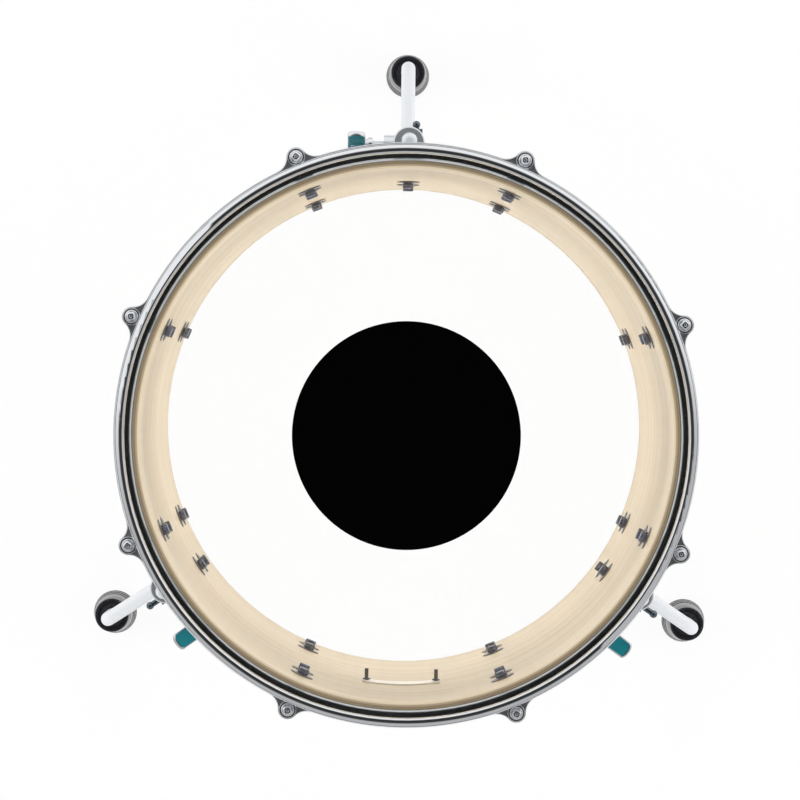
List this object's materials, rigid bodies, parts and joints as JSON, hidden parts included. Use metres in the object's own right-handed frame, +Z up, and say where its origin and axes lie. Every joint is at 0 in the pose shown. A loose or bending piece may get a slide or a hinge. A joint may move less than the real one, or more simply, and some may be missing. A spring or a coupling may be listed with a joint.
{
  "type": "floor tom drum",
  "caption": "Floor tom with a clear dotted batter head and clear resonant head under flanged hoops, lugs and tension rods, on bent height-adjustable legs with rubber feet",
  "frame": {"origin": "on the floor, under the middle of the drum", "axes": "+Z up along the drum's axis, +Y towards the single leg, badge on the -Y side"},
  "size_m": [0.5432, 0.5415, 0.633],
  "materials": {
    "maple": "clear satin maple ply",
    "teal_wrap": "deep teal gloss covering",
    "badge_metal": "plain satin plate",
    "chrome": "bright plate",
    "nut_brass": "plain",
    "screw_steel": "dark zinc",
    "washer_steel": "bright zinc",
    "clear_film": "clear polyester",
    "black_dot": "black polyester",
    "channel_aluminium": "plain rolled",
    "resin": "cast",
    "foot_rubber": "satin black"
  },
  "bodies": {
    "shell": {"shell": "maple", "shell_wrap": "teal_wrap", "badge_plate": "badge_metal", "badge_backing": "maple", "badge_nuts": "washer_steel", "lug_nuts": "nut_brass", "shell_screws": "screw_steel", "shell_screw_washers": "washer_steel", "lug_pair_1": "chrome", "lug_pair_2": "chrome", "lug_pair_3": "chrome", "lug_pair_4": "chrome", "lug_pair_5": "chrome", "lug_pair_6": "chrome", "lug_pair_7": "chrome", "lug_pair_8": "chrome", "leg_bracket_1": "chrome", "leg_bracket_2": "chrome", "leg_bracket_3": "chrome"},
    "batter_head": {"batter_film": "clear_film", "batter_dot": "black_dot", "batter_flesh_hoop": "channel_aluminium", "batter_resin": "resin", "batter_hoop": "chrome", "batter_rod_washers": "washer_steel"},
    "resonant_head": {"resonant_film": "clear_film", "resonant_flesh_hoop": "channel_aluminium", "resonant_resin": "resin", "resonant_hoop": "chrome", "resonant_rod_washers": "washer_steel"},
    "batter_rod_1": {"batter_rod_1": "chrome"},
    "batter_rod_2": {"batter_rod_2": "chrome"},
    "batter_rod_3": {"batter_rod_3": "chrome"},
    "batter_rod_4": {"batter_rod_4": "chrome"},
    "batter_rod_5": {"batter_rod_5": "chrome"},
    "batter_rod_6": {"batter_rod_6": "chrome"},
    "batter_rod_7": {"batter_rod_7": "chrome"},
    "batter_rod_8": {"batter_rod_8": "chrome"},
    "resonant_rod_1": {"resonant_rod_1": "chrome"},
    "resonant_rod_2": {"resonant_rod_2": "chrome"},
    "resonant_rod_3": {"resonant_rod_3": "chrome"},
    "resonant_rod_4": {"resonant_rod_4": "chrome"},
    "resonant_rod_5": {"resonant_rod_5": "chrome"},
    "resonant_rod_6": {"resonant_rod_6": "chrome"},
    "resonant_rod_7": {"resonant_rod_7": "chrome"},
    "resonant_rod_8": {"resonant_rod_8": "chrome"},
    "memory_lock_1": {"memory_lock_1": "chrome"},
    "leg_1": {"leg_1": "chrome", "leg_foot_1": "foot_rubber"},
    "wing_screw_1": {"wing_screw_1": "chrome"},
    "memory_lock_2": {"memory_lock_2": "chrome"},
    "leg_2": {"leg_2": "chrome", "leg_foot_2": "foot_rubber"},
    "wing_screw_2": {"wing_screw_2": "chrome"},
    "memory_lock_3": {"memory_lock_3": "chrome"},
    "leg_3": {"leg_3": "chrome", "leg_foot_3": "foot_rubber"},
    "wing_screw_3": {"wing_screw_3": "chrome"}
  },
  "joints": [
    {"name": "batter_head_off", "type": "slide", "parent": "shell", "child": "batter_head", "axis": [0, 0, 1], "range_m": [0, 0.027]},
    {"name": "batter_rod_1_turn", "type": "hinge", "parent": "batter_head", "child": "batter_rod_1", "pos_m": [0.20362, 0.08434, 0.62], "axis": [0, 0, 1], "range_deg": [0, 9191]},
    {"name": "batter_rod_2_turn", "type": "hinge", "parent": "batter_head", "child": "batter_rod_2", "pos_m": [0.08434, 0.20362, 0.62], "axis": [0, 0, 1], "range_deg": [0, 9191]},
    {"name": "batter_rod_3_turn", "type": "hinge", "parent": "batter_head", "child": "batter_rod_3", "pos_m": [-0.08434, 0.20362, 0.62], "axis": [0, 0, 1], "range_deg": [0, 9191]},
    {"name": "batter_rod_4_turn", "type": "hinge", "parent": "batter_head", "child": "batter_rod_4", "pos_m": [-0.20362, 0.08434, 0.62], "axis": [0, 0, 1], "range_deg": [0, 9191]},
    {"name": "batter_rod_5_turn", "type": "hinge", "parent": "batter_head", "child": "batter_rod_5", "pos_m": [-0.20362, -0.08434, 0.62], "axis": [0, 0, 1], "range_deg": [0, 9191]},
    {"name": "batter_rod_6_turn", "type": "hinge", "parent": "batter_head", "child": "batter_rod_6", "pos_m": [-0.08434, -0.20362, 0.62], "axis": [0, 0, 1], "range_deg": [0, 9191]},
    {"name": "batter_rod_7_turn", "type": "hinge", "parent": "batter_head", "child": "batter_rod_7", "pos_m": [0.08434, -0.20362, 0.62], "axis": [0, 0, 1], "range_deg": [0, 9191]},
    {"name": "batter_rod_8_turn", "type": "hinge", "parent": "batter_head", "child": "batter_rod_8", "pos_m": [0.20362, -0.08434, 0.62], "axis": [0, 0, 1], "range_deg": [0, 9191]},
    {"name": "resonant_head_off", "type": "slide", "parent": "shell", "child": "resonant_head", "axis": [0, 0, -1], "range_m": [0, 0.027]},
    {"name": "resonant_rod_1_turn", "type": "hinge", "parent": "resonant_head", "child": "resonant_rod_1", "pos_m": [0.20362, 0.08434, 0.214], "axis": [0, 0, -1], "range_deg": [0, 9191]},
    {"name": "resonant_rod_2_turn", "type": "hinge", "parent": "resonant_head", "child": "resonant_rod_2", "pos_m": [0.08434, 0.20362, 0.214], "axis": [0, 0, -1], "range_deg": [0, 9191]},
    {"name": "resonant_rod_3_turn", "type": "hinge", "parent": "resonant_head", "child": "resonant_rod_3", "pos_m": [-0.08434, 0.20362, 0.214], "axis": [0, 0, -1], "range_deg": [0, 9191]},
    {"name": "resonant_rod_4_turn", "type": "hinge", "parent": "resonant_head", "child": "resonant_rod_4", "pos_m": [-0.20362, 0.08434, 0.214], "axis": [0, 0, -1], "range_deg": [0, 9191]},
    {"name": "resonant_rod_5_turn", "type": "hinge", "parent": "resonant_head", "child": "resonant_rod_5", "pos_m": [-0.20362, -0.08434, 0.214], "axis": [0, 0, -1], "range_deg": [0, 9191]},
    {"name": "resonant_rod_6_turn", "type": "hinge", "parent": "resonant_head", "child": "resonant_rod_6", "pos_m": [-0.08434, -0.20362, 0.214], "axis": [0, 0, -1], "range_deg": [0, 9191]},
    {"name": "resonant_rod_7_turn", "type": "hinge", "parent": "resonant_head", "child": "resonant_rod_7", "pos_m": [0.08434, -0.20362, 0.214], "axis": [0, 0, -1], "range_deg": [0, 9191]},
    {"name": "resonant_rod_8_turn", "type": "hinge", "parent": "resonant_head", "child": "resonant_rod_8", "pos_m": [0.20362, -0.08434, 0.214], "axis": [0, 0, -1], "range_deg": [0, 9191]},
    {"name": "leg_1_height", "type": "slide", "parent": "shell", "child": "memory_lock_1", "axis": [0, 0, -1], "range_m": [0, 0.08]},
    {"name": "leg_1_swivel", "type": "hinge", "parent": "memory_lock_1", "child": "leg_1", "pos_m": [0, 0.2265, 0.3525], "axis": [0, 0, 1], "continuous": true},
    {"name": "wing_screw_1_turn", "type": "hinge", "parent": "shell", "child": "wing_screw_1", "pos_m": [0, 0.2265, 0.3525], "axis": [-1, 0, 0], "range_deg": [0, 720]},
    {"name": "leg_2_height", "type": "slide", "parent": "shell", "child": "memory_lock_2", "axis": [0, 0, -1], "range_m": [0, 0.08]},
    {"name": "leg_2_swivel", "type": "hinge", "parent": "memory_lock_2", "child": "leg_2", "pos_m": [-0.18666, -0.12829, 0.3525], "axis": [0, 0, 1], "continuous": true},
    {"name": "wing_screw_2_turn", "type": "hinge", "parent": "shell", "child": "wing_screw_2", "pos_m": [-0.18666, -0.12829, 0.3525], "axis": [0.5664, -0.8241, 0], "range_deg": [0, 720]},
    {"name": "leg_3_height", "type": "slide", "parent": "shell", "child": "memory_lock_3", "axis": [0, 0, -1], "range_m": [0, 0.08]},
    {"name": "leg_3_swivel", "type": "hinge", "parent": "memory_lock_3", "child": "leg_3", "pos_m": [0.18666, -0.12829, 0.3525], "axis": [0, 0, 1], "continuous": true},
    {"name": "wing_screw_3_turn", "type": "hinge", "parent": "shell", "child": "wing_screw_3", "pos_m": [0.18666, -0.12829, 0.3525], "axis": [-0.5664, -0.8241, 0], "range_deg": [0, 720]}
  ],
  "couplings": [
    {"joint": "batter_rod_1_turn", "follows": "batter_head_off", "rad_per_m": 5938.7},
    {"joint": "batter_rod_2_turn", "follows": "batter_head_off", "rad_per_m": 5938.7},
    {"joint": "batter_rod_3_turn", "follows": "batter_head_off", "rad_per_m": 5938.7},
    {"joint": "batter_rod_4_turn", "follows": "batter_head_off", "rad_per_m": 5938.7},
    {"joint": "batter_rod_5_turn", "follows": "batter_head_off", "rad_per_m": 5938.7},
    {"joint": "batter_rod_6_turn", "follows": "batter_head_off", "rad_per_m": 5938.7},
    {"joint": "batter_rod_7_turn", "follows": "batter_head_off", "rad_per_m": 5938.7},
    {"joint": "batter_rod_8_turn", "follows": "batter_head_off", "rad_per_m": 5938.7},
    {"joint": "resonant_rod_1_turn", "follows": "resonant_head_off", "rad_per_m": 5938.7},
    {"joint": "resonant_rod_2_turn", "follows": "resonant_head_off", "rad_per_m": 5938.7},
    {"joint": "resonant_rod_3_turn", "follows": "resonant_head_off", "rad_per_m": 5938.7},
    {"joint": "resonant_rod_4_turn", "follows": "resonant_head_off", "rad_per_m": 5938.7},
    {"joint": "resonant_rod_5_turn", "follows": "resonant_head_off", "rad_per_m": 5938.7},
    {"joint": "resonant_rod_6_turn", "follows": "resonant_head_off", "rad_per_m": 5938.7},
    {"joint": "resonant_rod_7_turn", "follows": "resonant_head_off", "rad_per_m": 5938.7},
    {"joint": "resonant_rod_8_turn", "follows": "resonant_head_off", "rad_per_m": 5938.7}
  ]
}
